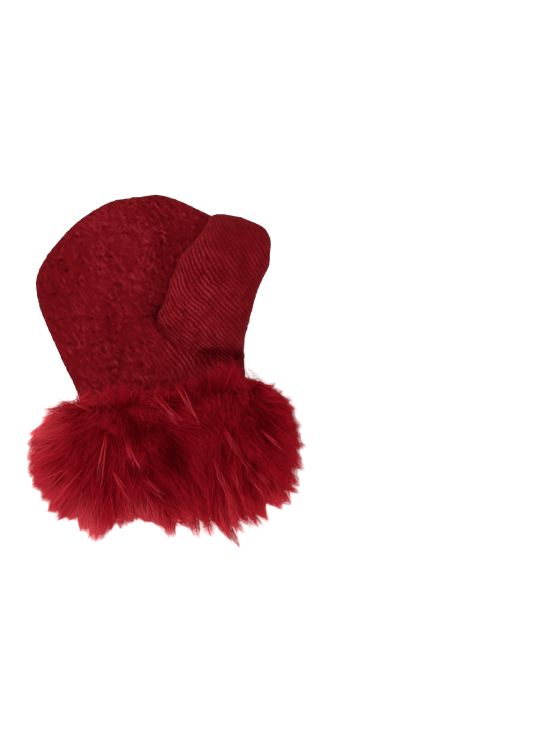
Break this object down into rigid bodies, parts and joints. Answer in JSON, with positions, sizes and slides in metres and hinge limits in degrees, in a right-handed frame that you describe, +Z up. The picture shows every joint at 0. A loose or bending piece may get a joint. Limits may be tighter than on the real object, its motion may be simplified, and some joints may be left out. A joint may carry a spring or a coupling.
{
  "type": "santa mitten",
  "caption": "Toddler's knitted mitten lying palm up: hollow hand pouch, thumb folded over the palm, deep fur cuff round an open wrist.",
  "frame": {"origin": "on the surface that the mitten lies on, under the middle of its outline", "axes": "+X towards the thumb side, +Y towards the fingertips, +Z up from the surface and out of the palm"},
  "size_m": [0.113, 0.1454, 0.0458],
  "materials": {
    "hand_knit": "matte textured knit",
    "thumb_knit": "matte plain knit",
    "fur": "long soft hair in locks"
  },
  "bodies": {
    "root": {"hand_shell": "hand_knit", "thumb_shell": "thumb_knit", "fur_cuff": "fur"}
  },
  "joints": []
}
